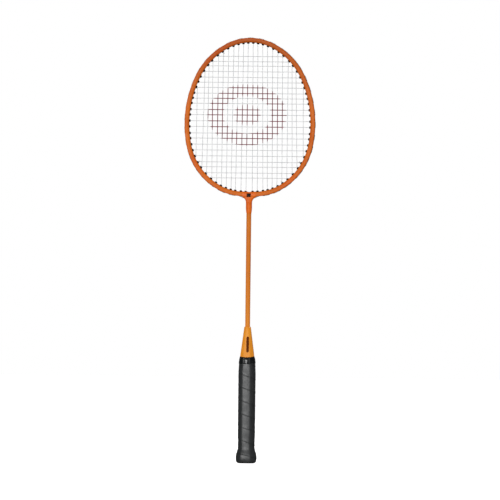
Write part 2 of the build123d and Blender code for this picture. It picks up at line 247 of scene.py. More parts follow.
def enamel(name, base, dark, light, red, reds=(), gloss=0.46, spec=0.38, painted_shading=None):
    """Sprayed enamel over steel: slow changes of tone, fine orange peel, a few rubbed spots."""
    m = Mat(name)
    c = m.ramp(m.noise(26, 2, 0.5), [(0.30, dark), (0.52, base), (0.78, light)])
    fine = m.noise(620, 4, 0.6)
    c = m.mix(0.10, c, m.ramp(fine, [(0.35, dark), (0.65, light)]), "MIX")
    X, Y, Z = xyz(m)
    for cx, cz, r, amount in reds:
        # a patch where the coat has more red in it
        dx = m.math("SUBTRACT", X, cx)
        dz = m.math("SUBTRACT", Z, cz)
        d = m.math("SQRT", m.math("ADD", m.math("MULTIPLY", dx, dx), m.math("MULTIPLY", dz, dz)))
        f = m.grey(d, amount, 0.0, 0.2 * r, r)
        c = m.mix(f, c, red)
    if painted_shading:
        # painted light and shade: the colour shifts towards a darker or lighter tone along the height, standing in for
        # how the light falls along the frame
        tone, z0, z1, most = painted_shading
        c = m.mix(m.grey(Z, 0.0, most, z0, z1), c, tone)
    scuff = m.grey(m.noise(210, 5, 0.7, m.space((1, 1, 0.35))), 0.0, 1.0, 0.70, 0.76)
    c = m.mix(m.math("MULTIPLY", scuff, 0.30), c, srgb(226, 150, 96))
    m.colour(c)
    rg = m.grey(m.noise(140, 4, 0.6), gloss - 0.05, gloss + 0.08)
    m.rough(m.math("ADD", rg, m.math("MULTIPLY", scuff, 0.15)))
    m.bump(m.math("ADD", m.noise(900, 2, 0.5), m.math("MULTIPLY", scuff, -0.5)), 0.10, 0.00010)
    m.bsdf.inputs["Specular IOR Level"].default_value = spec
    return m.m


def plastic(name, base, dark, light, rough=0.3, grain=900, bump=0.08, spec=0.5):
    m = Mat(name)
    c = m.ramp(m.noise(60, 3, 0.5), [(0.3, dark), (0.55, base), (0.8, light)])
    m.colour(c)
    m.rough(m.grey(m.noise(240, 4, 0.6), rough - 0.05, rough + 0.08))
    m.bump(m.noise(grain, 3, 0.55), bump, 0.0002)
    m.bsdf.inputs["Specular IOR Level"].default_value = spec
    return m.m


# painted shade: the hoop's colour is darkened towards its top
mat_hoop = enamel("enamel_hoop", srgb(222, 110, 24), srgb(208, 96, 16), srgb(232, 122, 38), srgb(226, 76, 22),
                  reds=((-0.045, 0.640, 0.040, 0.5), (0.066, 0.437, 0.022, 0.35), (-0.080, 0.470, 0.03, 0.25)),
                  gloss=0.50, spec=0.20, painted_shading=(srgb(178, 80, 12), 0.560, 0.668, 0.85))
# painted light: the shaft's colour is lightened towards its lower end
mat_shaft = enamel("enamel_shaft", srgb(224, 124, 36), srgb(214, 112, 28), srgb(232, 134, 48), srgb(218, 94, 30),
                   gloss=0.50, spec=0.20, painted_shading=(srgb(244, 150, 50), 0.330, 0.215, 0.75))
mat_throat = plastic("throat_orange", srgb(238, 110, 20), srgb(226, 98, 14), srgb(244, 124, 40), 0.42, 700, 0.05, 0.22)


def cone_plastic(name):
    """Amber moulding with a plain dark bar printed on its front face."""
    m = Mat(name)
    c = m.ramp(m.noise(60, 3, 0.5), [(0.3, srgb(242, 148, 34)), (0.55, srgb(248, 158, 42)), (0.8, srgb(252, 168, 58))])
    X, Y, Z = xyz(m)
    # distance to the bar's middle line, in metres, with a slightly rough edge
    along = m.math("MAXIMUM", m.math("SUBTRACT", m.math("ABSOLUTE", m.math("SUBTRACT", Z, 0.1857)), 0.0103), 0.0)
    across = m.math("SUBTRACT", X, 0.0012)
    d = m.math("SQRT", m.math("ADD", m.math("MULTIPLY", along, along), m.math("MULTIPLY", across, across)))
    d = m.math("ADD", d, m.math("MULTIPLY", m.math("SUBTRACT", m.noise(1500, 3, 0.6), 0.5), 0.0004))
    front = m.math("LESS_THAN", Y, 0.0)
    bar = m.math("MULTIPLY", front, m.grey(d, 1.0, 0.0, 0.00195, 0.00215))
    worn = m.grey(m.noise(800, 4, 0.65), 0.86, 1.0, 0.35, 0.6)
    c = m.mix(m.math("MULTIPLY", bar, worn), c, srgb(84, 24, 2))
    m.colour(c)
    m.rough(m.grey(m.noise(240, 4, 0.6), 0.39, 0.52))
    m.bump(m.math("ADD", m.noise(700, 3, 0.55), m.math("MULTIPLY", bar, 0.3)), 0.05, 0.0002)
    m.link(m.math("SUBTRACT", 0.20, m.math("MULTIPLY", bar, 0.18)), m.bsdf.inputs["Specular IOR Level"])
    return m.m


mat_cone = cone_plastic("cone_amber")
mat_badge = plastic("badge_black", srgb(34, 12, 6), srgb(22, 7, 4), srgb(48, 20, 10), 0.50, 900, 0.08, 0.12)
mat_grommet = plastic("nylon_black", srgb(20, 11, 8), srgb(13, 7, 5), srgb(30, 18, 13), 0.48, 1200, 0.1, 0.22)
mat_cap = plastic("cap_black", srgb(38, 38, 40), srgb(30, 30, 32), srgb(50, 50, 52), 0.5, 1400, 0.2)
mat_sticker = plastic("label_grey", srgb(92, 92, 94), srgb(84, 84, 86), srgb(104, 104, 106), 0.42, 300, 0.05)


def steel(name):
    m = Mat(name)
    m.colour(m.ramp(m.noise(90, 4, 0.6, m.space((1, 1, 12))), [(0.3, srgb(150, 150, 152)), (0.7, srgb(186, 186, 188))]))
    m.rough(m.grey(m.noise(260, 5, 0.6, m.space((1, 1, 10))), 0.24, 0.42))
    m.bump(m.noise(500, 3, 0.6, m.space((1, 1, 8))), 0.1, 0.0001)
    m.bsdf.inputs["Metallic"].default_value = 1.0
    return m.m


mat_steel = steel("steel_bare")


def wood(name):
    m = Mat(name)
    v = m.space((90, 90, 5))
    grain = m.noise(1.6, 6, 0.6, v, 1.2)
    m.colour(m.ramp(grain, [(0.3, srgb(158, 116, 72)), (0.5, srgb(192, 150, 102)), (0.7, srgb(210, 172, 124))]))
    m.rough(m.grey(grain, 0.5, 0.68))
    m.bump(grain, 0.2, 0.0003)
    return m.m


mat_wood = wood("wood_handle")

# printed mark on the strings: a plain oval ring round a dot
RING_X, RING_Z = -0.0045, 0.5445
RING_A, RING_B = 0.063, 0.0485


def ink_mask(x, z):
    """How much of the print covers a point of the string bed, for arrays of metres."""
    r = np.hypot((x - RING_X) / RING_A, (z - RING_Z) / RING_B)
    ring = 1 - np.abs(r - 0.795) / 0.205
    dot = 1 - r / 0.36
    return np.clip(np.maximum(ring, dot) / 0.10, 0, 1)




def string_material(name):
    m = Mat(name)
    X, Y, Z = xyz(m)
    twist = m.noise(1400, 2, 0.5)
    clean = m.ramp(m.noise(90, 3, 0.6), [(0.3, srgb(200, 203, 206)), (0.7, srgb(223, 224, 224))])
    dx = m.math("DIVIDE", m.math("SUBTRACT", X, RING_X), RING_A)
    dz = m.math("DIVIDE", m.math("SUBTRACT", Z, RING_Z), RING_B)
    r = m.math("SQRT", m.math("ADD", m.math("MULTIPLY", dx, dx), m.math("MULTIPLY", dz, dz)))
    edge = m.math("MULTIPLY", m.math("SUBTRACT", m.noise(420, 3, 0.6), 0.5), 0.03)
    r = m.math("ADD", r, edge)
    ring = m.math("SUBTRACT", 1.0, m.math("DIVIDE", m.math("ABSOLUTE", m.math("SUBTRACT", r, 0.795)), 0.205))
    dot = m.math("SUBTRACT", 1.0, m.math("DIVIDE", r, 0.36))
    ink = m.math("MAXIMUM", ring, dot)
    ink = m.grey(ink, 0.0, 1.0, 0.0, 0.10)
    worn = m.grey(m.noise(700, 4, 0.65), 0.90, 1.0, 0.35, 0.6)
    ink = m.math("MULTIPLY", ink, worn)
    red = m.ramp(m.noise(260, 3, 0.6), [(0.35, srgb(108, 8, 34)), (0.65, srgb(138, 24, 54))])
    m.colour(m.mix(ink, clean, red))
    m.rough(m.math("ADD", m.grey(m.noise(300, 3, 0.5), 0.26, 0.42), m.math("MULTIPLY", ink, 0.35)))
    m.bump(twist, 0.1, 0.0001)
    m.link(m.math("SUBTRACT", 0.5, m.math("MULTIPLY", ink, 0.46)), m.bsdf.inputs["Specular IOR Level"])
    m.bsdf.inputs["Subsurface Weight"].default_value = 0.0
    m.bsdf.inputs["IOR"].default_value = 1.5
    return m.m


mat_string = string_material("string_nylon")


def grip_material(name):
    """Synthetic leather grip: fine pebbled grain, lighter on the pebbles' tops, darker in the hollows, and painted
    shade along the seams.
    """
    m = Mat(name)
    pebble = m.cells(1150, "SMOOTH_F1")
    fine = m.noise(2600, 3, 0.6)
    crease = m.noise(150, 5, 0.65, m.space((1, 1, 0.6), (0.0, 0.2, 0.0)), 0.6)
    tone = m.ramp(m.noise(48, 4, 0.6), [(0.3, srgb(34, 36, 37)), (0.55, srgb(42, 44, 45)), (0.8, srgb(52, 54, 55))])
    tone = m.mix(m.grey(pebble, 0.30, 0.0, 0.15, 0.55), tone, srgb(66, 69, 70))
    tone = m.mix(m.grey(crease, 0.30, 0.0, 0.36, 0.48), tone, srgb(20, 21, 22))
    seam = m.node("ShaderNodeAttribute")
    seam.attribute_name = "seam"
    X, Y, Z = xyz(m)
    # painted shade: the lap along each seam is darkened, more on one side of each face
    painted_seam_shade = m.grey(m.math("MULTIPLY", X, -1.0), 0.25, 0.62, -0.004, 0.002)
    tone = m.mix(m.math("MULTIPLY", seam.outputs["Fac"], painted_seam_shade), tone, srgb(10, 10, 11))
    m.colour(tone)
    m.rough(m.math("ADD", m.grey(m.noise(75, 4, 0.6), 0.38, 0.48), m.math("MULTIPLY", seam.outputs["Fac"], 0.12)))
    h = m.math("ADD", m.math("MULTIPLY", pebble, -0.9), m.math("ADD", m.math("MULTIPLY", fine, 0.25), m.math("MULTIPLY", crease, 0.6)))
    m.bump(h, 0.30, 0.0003)
    m.bsdf.inputs["Specular IOR Level"].default_value = 0.68
    return m.m


mat_grip = grip_material("grip_leatherette")


def vinyl(name):
    m = Mat(name)
    m.colour(m.ramp(m.noise(120, 3, 0.5), [(0.3, srgb(10, 12, 13)), (0.7, srgb(24, 27, 28))]))
    m.rough(m.grey(m.noise(320, 4, 0.6), 0.20, 0.27))
    wr = m.noise(150, 3, 0.5, m.space((1, 1, 2.2)), 0.5)
    m.bump(m.math("ADD", wr, m.math("MULTIPLY", m.noise(900, 2, 0.5), 0.15)), 0.15, 0.0005)
    m.bsdf.inputs["Specular IOR Level"].default_value = 0.34
    m.bsdf.inputs["Coat Weight"].default_value = 0.10
    m.bsdf.inputs["Coat Roughness"].default_value = 0.22
    return m.m


mat_vinyl = vinyl("finishing_vinyl")


def give(node, mat, sharp=None):
    ob = nodes[node]
    ob.data.materials.clear()
    ob.data.materials.append(mat)
    for p in ob.data.polygons:
        p.material_index = 0
    return ob


give("head_hoop", mat_hoop)
give("shaft", mat_shaft)
give("throat_cover", mat_throat)
give("throat_core", mat_steel)
give("throat_badges", mat_badge)
give("cone", mat_cone)
give("handle_core", mat_wood)
give("shaft_pin", mat_steel)
give("grip_tacks", mat_steel)
give("butt_cap", mat_cap)
give("butt_sticker", mat_sticker)
for n in ("hoop_grommets", "shared_grommets", "throat_grommets"):
    give(n, mat_grommet)
for n in ("main_string", "cross_string"):
    ob = give(n, mat_string)
    # the print is a thick ink that stands up on the string
    co = np.empty(len(ob.data.vertices) * 3)
    ob.data.vertices.foreach_get("co", co)
    co = co.reshape(-1, 3) @ np.array(ob.matrix_world.to_3x3()).T + np.array(ob.matrix_world.translation)
    print_weight = ink_mask(co[:, 0], co[:, 2])
    group = ob.vertex_groups.new(name="print")
    for level in range(1, 5):
        picked = np.nonzero((print_weight > (level - 0.5) / 4) & (print_weight <= (level + 0.5) / 4 + (level == 4)))[0]
        if len(picked):
            group.add(picked.tolist(), level / 4, "REPLACE")
    joined = ob.modifiers.new("one_skin", "WELD")
    joined.merge_threshold = 0.000001
    swell = ob.modifiers.new("print", "DISPLACE")
    swell.direction = "NORMAL"
    swell.strength = 0.00023
    swell.mid_level = 0.0
    swell.vertex_group = "print"
give("grip_tape", mat_grip)
give("finishing_tape", mat_vinyl)


# ------------------------------------------------------------------ the hoop's line, in millimetres
Z_HEAD = 539.524
HOOP_TOP = 665.0
HOOP_RADII = ((79.814, 25.88), (108.967, 65.14), (176.680, 101.08), (101.516, 149.18),
              (80.330, 171.05), (None, 180.0))
TUBE_WIDE, TUBE_DEEP = 7.3, 9.6
HOLES = (1.9, 5.6, 9.4, 13.5, 18.0, 22.9, 27.75, 34.0, 38.9, 44.75, 50.5, 55.4,
         60.5, 66.1, 71.0, 76.0, 82.0, 87.1, 92.9, 98.4, 104.4, 109.1, 114.6,
         119.75, 125.1, 130.75, 135.6, 141.9, 147.75, 152.75, 157.25, 161.5,
         165.5, 169.1, 173.5, 177.5)
SHARED = (7, 8, 9, 10, 13, 25, 27, 28, 29)


def hoop_arcs():
    out, cx, cz, last, start = [], 0.0, HOOP_TOP - HOOP_RADII[0][0], HOOP_RADII[0][0], 0.0
    for r, end in HOOP_RADII:
        h = radians(start)
        if r is None:
            r = last + cx / sin(h)
        cx, cz = cx + (last - r) * sin(h), cz + (last - r) * cos(h)
        out.append((cx, cz, r, start, end))
        last, start = r, end
    return out


ARCS = hoop_arcs()
BOTTOM = ARCS[-1]
HOOP_LOW = BOTTOM[1] - BOTTOM[2]


def hoop_point(heading, inside):
    a = next((a for a in ARCS if heading <= a[4] + 1e-9), ARCS[-1])
    h = radians(heading)
    return a[0] + (a[2] - inside) * sin(h), a[1] + (a[2] - inside) * cos(h)


def heading_of(polar, inside):
    low, high = 0.0, 180.0
    for _ in range(50):
        mid = (low + high) / 2
        x, z = hoop_point(mid, inside)
        if degrees(atan2(x, z - Z_HEAD)) < polar:
            low = mid
        else:
            high = mid
    return (low + high) / 2


def hole_axis(number, side):
    """Where a grommet's axis meets the hoop's outer line, its inward direction, and its length to the mouth."""
    polar = HOLES[number - 1]
    if number == 36:
        x, z = hoop_point(heading_of(polar, 8.3), 9.2)
        ex, ez = 8.35, 414.75
        d = Vector((x - ex, 0, z - ez))
        base = Vector((ex, 0, ez)) - d.normalized() * 0.1
        length = d.length + 0.1
        d.normalize()
    else:
        h = heading_of(polar, 8.3)
        d = Vector((-sin(radians(h)), 0, -cos(radians(h))))
        x, z = hoop_point(h, 0.0)
        base = Vector((x, 0, z))
        length = 9.2
    if side < 0:
        base.x, d.x = -base.x, -d.x
    return base, d, length


def make_grommets(name, numbers, bore, barrel, head, flange):
    """Moulded nylon grommets: a head in the channel, a barrel through the tube and a flanged mouth inside."""
    verts, faces = [], []
    n = 24
    for number in numbers:
        for side in (1, -1):
            base, d, length = hole_axis(number, side)
            across = Vector((0, 1, 0))
            along = across.cross(d)
            wall = TUBE_WIDE if number != 36 else length - 1.9
            proud = 0.0 if number < 20 or number == 36 else 0.55 * smoothstep(19, 27, number)
            L = length
            # (distance in, radius, how much the tube's roundness moves it, stretch along the hoop)
            rows = [(0.30 - proud, bore, 0, 0), (0.12 - proud, bore + 0.14, 0, 0), (0.06 - proud, bore + 0.35, 0, 0),
                    (0.08 - proud, head - 0.40, 0, 0), (0.20 - proud, head - 0.12, 0, 0), (0.45 - proud, head, 0, 0),
                    (0.95, head, 0, 0), (0.95, barrel, 0, 0), (wall - 1.2, barrel, 0, 0),
                    (wall - 0.75, flange - 0.06, 1, 0), (wall + 0.02, flange, 1, 0), (wall + 0.60, flange - 0.03, 0.8, 0),
                    (L - 0.62, flange - 0.12, 0.5, 0), (L - 0.30, flange - 0.36, 0.3, 0), (L - 0.12, flange - 0.66, 0.15, 0),
                    (L - 0.03, barrel - 0.10, 0, 0), (L - 0.02, barrel - 0.32, 0, 0),
                    (L - 0.02, bore + 0.16, 0, 0), (L - 0.12, bore + 0.04, 0, 0), (L - 0.4, bore, 0, 0)]
            start = len(verts)
            for t, r, sag, stretch in rows:
                for i in range(n):
                    a = 2 * pi * i / n
                    y = r * sin(a) * (1 + 0.45 * min(1.0, max(0.0, (r - barrel - 0.1) / 0.5)) * (t > wall - 1.0))
                    x = r * cos(a)
                    drop = sag * 3.65 * (1 - sqrt(max(0.0, 1 - (min(abs(y), 4.4) / 4.8) ** 2)))
                    p = base + d * (t - drop) + across * y + along * x
                    verts.append((p.x * MM, p.y * MM, p.z * MM))
            m = len(rows)
            for k in range(m):
                kk = (k + 1) % m
                for i in range(n):
                    j = (i + 1) % n
                    faces.append((start + k * n + i, start + k * n + j, start + kk * n + j, start + kk * n + i))
    ob = new_mesh(name, verts, faces, mat_grommet)
    sharpen(ob, 42)
    return ob


g1 = make_grommets("grommets_single", [k for k in range(1, 36) if k not in SHARED], 1.0, 1.42, 1.85, 2.10)
g2 = make_grommets("grommets_shared", list(SHARED), 1.1, 1.62, 2.05, 2.30)
g3 = make_grommets("grommets_throat", [36], 1.0, 1.42, 1.85, 2.05)
for g, node in ((g1, "hoop_grommets"), (g2, "shared_grommets"), (g3, "throat_grommets")):
    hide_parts(node)
    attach(g, "root")


# ------------------------------------------------------------------ T-joint cover, drawn from a distance field
def surface_net(field, low, step, count):
    """A closed quad mesh where a sampled field changes sign."""
    nx, ny, nz = count
    inside = field < 0
    cell = {}
    verts = []
    f = field
    any_in = np.zeros((nx - 1, ny - 1, nz - 1), bool)
    all_in = np.ones((nx - 1, ny - 1, nz - 1), bool)
    for dx in (0, 1):
        for dy in (0, 1):
            for dz in (0, 1):
                part = inside[dx:nx - 1 + dx, dy:ny - 1 + dy, dz:nz - 1 + dz]
                any_in |= part
                all_in &= part
    corners = [(dx, dy, dz) for dx in (0, 1) for dy in (0, 1) for dz in (0, 1)]
    pairs = [(a, b) for a in range(8) for b in range(a + 1, 8)
             if sum(abs(corners[a][k] - corners[b][k]) for k in range(3)) == 1]
    for i, j, k in np.argwhere(any_in & ~all_in):
        v = [f[i + dx, j + dy, k + dz] for dx, dy, dz in corners]
        s, c = [0.0, 0.0, 0.0], 0
        for a, b in pairs:
            if (v[a] < 0) != (v[b] < 0):
                t = v[a] / (v[a] - v[b])
                for q in range(3):
                    s[q] += corners[a][q] + t * (corners[b][q] - corners[a][q])
                c += 1
        cell[(i, j, k)] = len(verts)
        verts.append(tuple(low[q] + step * ((i, j, k)[q] + s[q] / c) for q in range(3)))
    faces = []
    for axis in range(3):
        u, w = (axis + 1) % 3, (axis + 2) % 3
        sl0 = [slice(None)] * 3
        sl1 = [slice(None)] * 3
        sl0[axis], sl1[axis] = slice(0, -1), slice(1, None)
        change = inside[tuple(sl0)] != inside[tuple(sl1)]
        for idx in np.argwhere(change):
            a = list(idx)
            ring = []
            for du, dw in ((-1, -1), (0, -1), (0, 0), (-1, 0)):
                b = list(a)
                b[u] += du
                b[w] += dw
                ring.append(cell.get(tuple(b)))
            if None in ring:
                continue
            if not inside[tuple(a)]:
                ring.reverse()
            faces.append(tuple(ring))
    return verts, faces


def make_throat():
    step = 0.36
    low = (-13.0, -6.6, 389.2)
    count = (73, 38, 106)
    ax = [low[q] + step * np.arange(count[q]) for q in range(3)]
    X, Y, Z = np.meshgrid(*ax, indexing="ij")
    zc, R = BOTTOM[1], BOTTOM[2]

    def rounded(u, v, a, b, r):
        qx, qy = np.abs(u) - a + r, np.abs(v) - b + r
        return np.hypot(np.maximum(qx, 0), np.maximum(qy, 0)) + np.minimum(np.maximum(qx, qy), 0) - r

    def smin(a, b, k):
        h = np.clip(0.5 + 0.5 * (b - a) / k, 0, 1)
        return b * (1 - h) + a * h - k * h * (1 - h)

    rho = R - np.hypot(X, Z - zc)
    u = rho - 3.65
    rr = np.where(u < 0, 2.4, 3.7)
    sleeve = rounded(u, Y, 4.12, 5.27, rr)
    ends = np.abs(X) - 11.25
    sleeve = -smin(-sleeve, -ends, 0.5)
    rows = ((390.0, 3.90), (391.0, 4.02), (393.2, 4.35), (396.5, 4.70), (401.0, 4.86), (404.0, 4.80), (407.0, 4.42),
            (410.0, 4.45), (414.0, 4.8), (425.0, 4.9))
    zr = ax[2]
    rad = np.array([curve_at(rows, z)[0] for z in zr])[None, None, :]
    stem = np.hypot(X, Y) - rad
    stem = np.maximum(stem, 390.6 - Z)
    stem = np.maximum(stem, Z - 420)
    web2 = 11.0 - np.hypot(np.abs(X) - 15.3, Z - 406.2)
    web2 = np.maximum(web2, 406.2 - Z)
    web2 = np.maximum(web2, np.abs(X) - 11.25)
    web2 = np.maximum(web2, Z - 420)
    t, r = 4.7, 2.6
    qx, qy = web2 + r, np.abs(Y) - t + r
    web = np.hypot(np.maximum(qx, 0), np.maximum(qy, 0)) + np.minimum(np.maximum(qx, qy), 0) - r
    body = smin(smin(stem, web, 1.6), sleeve, 1.3)
    # a small slot at the middle of the inner side, where the two ends of the hoop meet
    slot = np.maximum(np.abs(X) - 0.75, 423.65 - Z)
    body = np.maximum(body, -slot)
    verts, faces = surface_net(body, low, step, count)
    ob = new_mesh("t_joint", [(x * MM, y * MM, z * MM) for x, y, z in verts], faces, mat_throat, recalc=False)
    bm = bmesh.new()
    bm.from_mesh(ob.data)
    for _ in range(3):
        bmesh.ops.smooth_vert(bm, verts=bm.verts, factor=0.5, use_axis_x=True, use_axis_y=True, use_axis_z=True)
    bmesh.ops.recalc_face_normals(bm, faces=bm.faces)
    for f in bm.faces:
        f.smooth = True
    bm.to_mesh(ob.data)
    bm.free()
    return ob


t_joint = make_throat()
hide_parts("throat_cover")
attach(t_joint, "root")


def make_badges():
    """A small dished plate on each face of the T-joint."""
    verts, faces = [], []
    n = 12
    for side in (1, -1):
        rows = [(4.7, 3.2, 2.75, 0.9), (5.50, 3.25, 2.8, 0.9), (5.72, 3.2, 2.75, 0.85), (5.82, 3.05, 2.6, 0.8),
                (5.82, 2.65, 2.2, 0.7), (5.70, 2.5, 2.05, 0.6), (5.67, 1.2, 1.0, 0.55), (5.75, 1.05, 0.85, 0.5),
                (5.75, 0.2, 0.15, 0.1)]
        start = len(verts)
        for y, hx, hz, r in rows:
            for q in range(4):
                for i in range(n + 1):
                    a = q * pi / 2 + i * pi / 2 / n
                    sx = 1 if q in (0, 3) else -1
                    sz = 1 if q in (0, 1) else -1
                    verts.append(((sx * (hx - r) + r * cos(a)) * MM, side * y * MM,
                                  (HOOP_LOW + 2.3 + sz * (hz - r) + r * sin(a)) * MM))
        m = 4 * (n + 1)
        for k in range(len(rows) - 1):
            for i in range(m):
                j = (i + 1) % m
                faces.append((start + k * m + i, start + k * m + j, start + (k + 1) * m + j, start + (k + 1) * m + i))
        faces.append(tuple(start + i for i in range(m)))
        faces.append(tuple(start + (len(rows) - 1) * m + i for i in range(m)))
    ob = new_mesh("t_joint_plates", verts, faces, mat_badge)
    sharpen(ob, 38)
    return ob


badges = make_badges()
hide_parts("throat_badges")
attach(badges, "root")


# ------------------------------------------------------------------ rounded octagon sections
def octagon_ring(hx, hy, c, r, arc=4, flat=6, crown=0.0):
    """Points and outward normals round an octagon with rounded corners, anticlockwise from +X."""
    V = [(hx, c - hy), (hx, hy - c), (hx - c, hy), (c - hx, hy),
         (-hx, hy - c), (-hx, c - hy), (c - hx, -hy), (hx - c, -hy)]
    N = [(cos(k * pi / 4), sin(k * pi / 4)) for k in range(8)]
    pts, nrm = [], []
    arcs = []
    for k in range(8):
        a, b = N[k - 1], N[k]
        d = 1 + a[0] * b[0] + a[1] * b[1]
        cx, cy = V[k][0] - r * (a[0] + b[0]) / d, V[k][1] - r * (a[1] + b[1]) / d
        a0 = (k - 1) * pi / 4
        arcs.append([(cx + r * cos(a0 + t * pi / 4 / arc), cy + r * sin(a0 + t * pi / 4 / arc),
                      cos(a0 + t * pi / 4 / arc), sin(a0 + t * pi / 4 / arc)) for t in range(arc + 1)])
    for k in range(8):
        for x, y, nx, ny in arcs[k]:
            pts.append((x, y))
            nrm.append((nx, ny))
        x0, y0 = arcs[k][-1][:2]
        x1, y1 = arcs[(k + 1) % 8][0][:2]
        for t in range(1, flat):
            f = t / flat
            bulge = crown * sin(pi * f)
            pts.append((lerp(x0, x1, f) + N[k][0] * bulge, lerp(y0, y1, f) + N[k][1] * bulge))
            nrm.append(N[k])
    return pts, nrm


def loft_rings(rings, cap_low=True, cap_high=True):
    """Faces through rings of equal length, closed round, with fan caps."""
    verts, faces = [], []
    n = len(rings[0])
    for r in rings:
        verts += r
    for k in range(len(rings) - 1):
        for i in range(n):
            j = (i + 1) % n
            faces.append((k * n + i, k * n + j, (k + 1) * n + j, (k + 1) * n + i))
    for on, k in ((cap_low, 0), (cap_high, len(rings) - 1)):
        if on:
            c = Vector((0, 0, 0))
            for v in rings[k]:
                c += Vector(v)
            verts.append(tuple(c / n))
            for i in range(n):
                j = (i + 1) % n
                faces.append((k * n + i, k * n + j, len(verts) - 1))
    return verts, faces


# outer surface of the wrapped grip: height, half width, half depth, corner cut (mm)
GRIP_OUT = ((0.6, 13.5, 12.0, 6.5), (1.6, 14.6, 13.1, 7.0), (3.0, 15.35, 13.85, 7.35), (5.0, 15.78, 14.28, 7.55),
            (7.5, 15.95, 14.45, 7.65), (10.2, 15.95, 14.45, 7.7),
            (14.3, 15.45, 13.95, 7.4), (19.0, 14.10, 12.6, 6.7), (23.2, 12.90, 11.45, 6.15),
            (33.0, 12.90, 11.45, 6.2), (46.0, 13.25, 11.75, 6.3), (136.0, 13.25, 11.75, 6.3),
            (146.0, 12.95, 11.5, 6.15), (153.0, 12.65, 11.2, 6.0), (158.5, 12.15, 10.8, 5.75), (162.0, 11.70, 10.45, 5.5),
            (164.6, 11.32, 10.15, 5.25), (166.4, 11.02, 9.93, 5.06), (169.0, 10.95, 9.86, 5.0))
PITCH = 20.6
WIDE = 25.0
SEAM_Z = 136.6            # height at which a seam crosses the middle of the front face
ARC, FLAT = 5, 7
CORNER = 6.6              # radius of the rounded corners
CROWN = 0.22              # how far each flat bulges


def corner_at(z):
    """The padding rounds the handle's corners off; at the top the tape follows the cone's sharper ones."""
    return lerp(CORNER, 2.6, smoothstep(155.0, 165.5, z))


